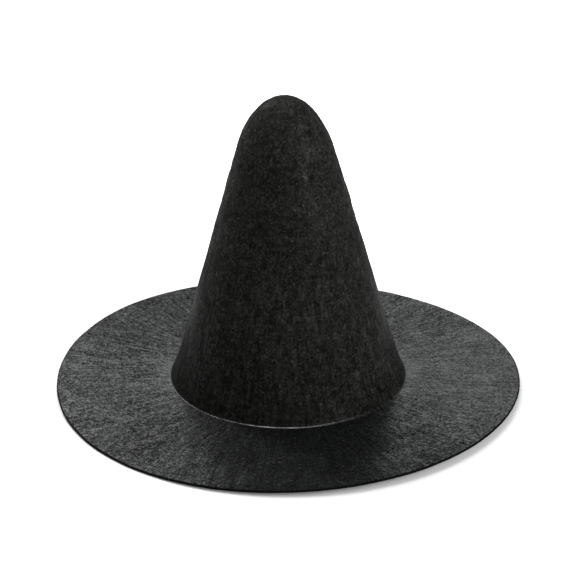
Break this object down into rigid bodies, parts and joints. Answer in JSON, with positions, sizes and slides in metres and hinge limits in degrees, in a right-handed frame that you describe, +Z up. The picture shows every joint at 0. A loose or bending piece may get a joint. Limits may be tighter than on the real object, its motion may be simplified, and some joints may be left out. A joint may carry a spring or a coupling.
{
  "type": "witch hat",
  "caption": "Tall cone crown with a rounded tip and a flat round brim in stiff black felt, with a ribbon sweatband and a care label inside.",
  "frame": {"origin": "centre of the head opening, on the surface that the brim rests on", "axes": "+Z up the crown's axis to the tip, +Y to the centre back where the sweatband laps, +X to the right seen from the front"},
  "size_m": [0.375, 0.375, 0.2328],
  "materials": {
    "felt": "stiffened needle-punched felt, matt with a faint sheen",
    "ribbon": "ribbed grosgrain",
    "thread": "spun polyester thread",
    "label": "plain satin ribbon, blank"
  },
  "bodies": {
    "hat": {"crown": "felt", "brim": "felt", "sweatband": "ribbon", "sweatband_seam_thread": "thread", "lap_seam_thread": "thread", "label_hem": "label", "label_seam_thread": "thread"},
    "label_flap": {"care_label": "label"}
  },
  "joints": [
    {"name": "label_fold", "type": "hinge", "parent": "hat", "child": "label_flap", "pos_m": [0, 0.08035, 0.0255], "axis": [-1, 0, 0], "range_deg": [-10, 120]}
  ]
}
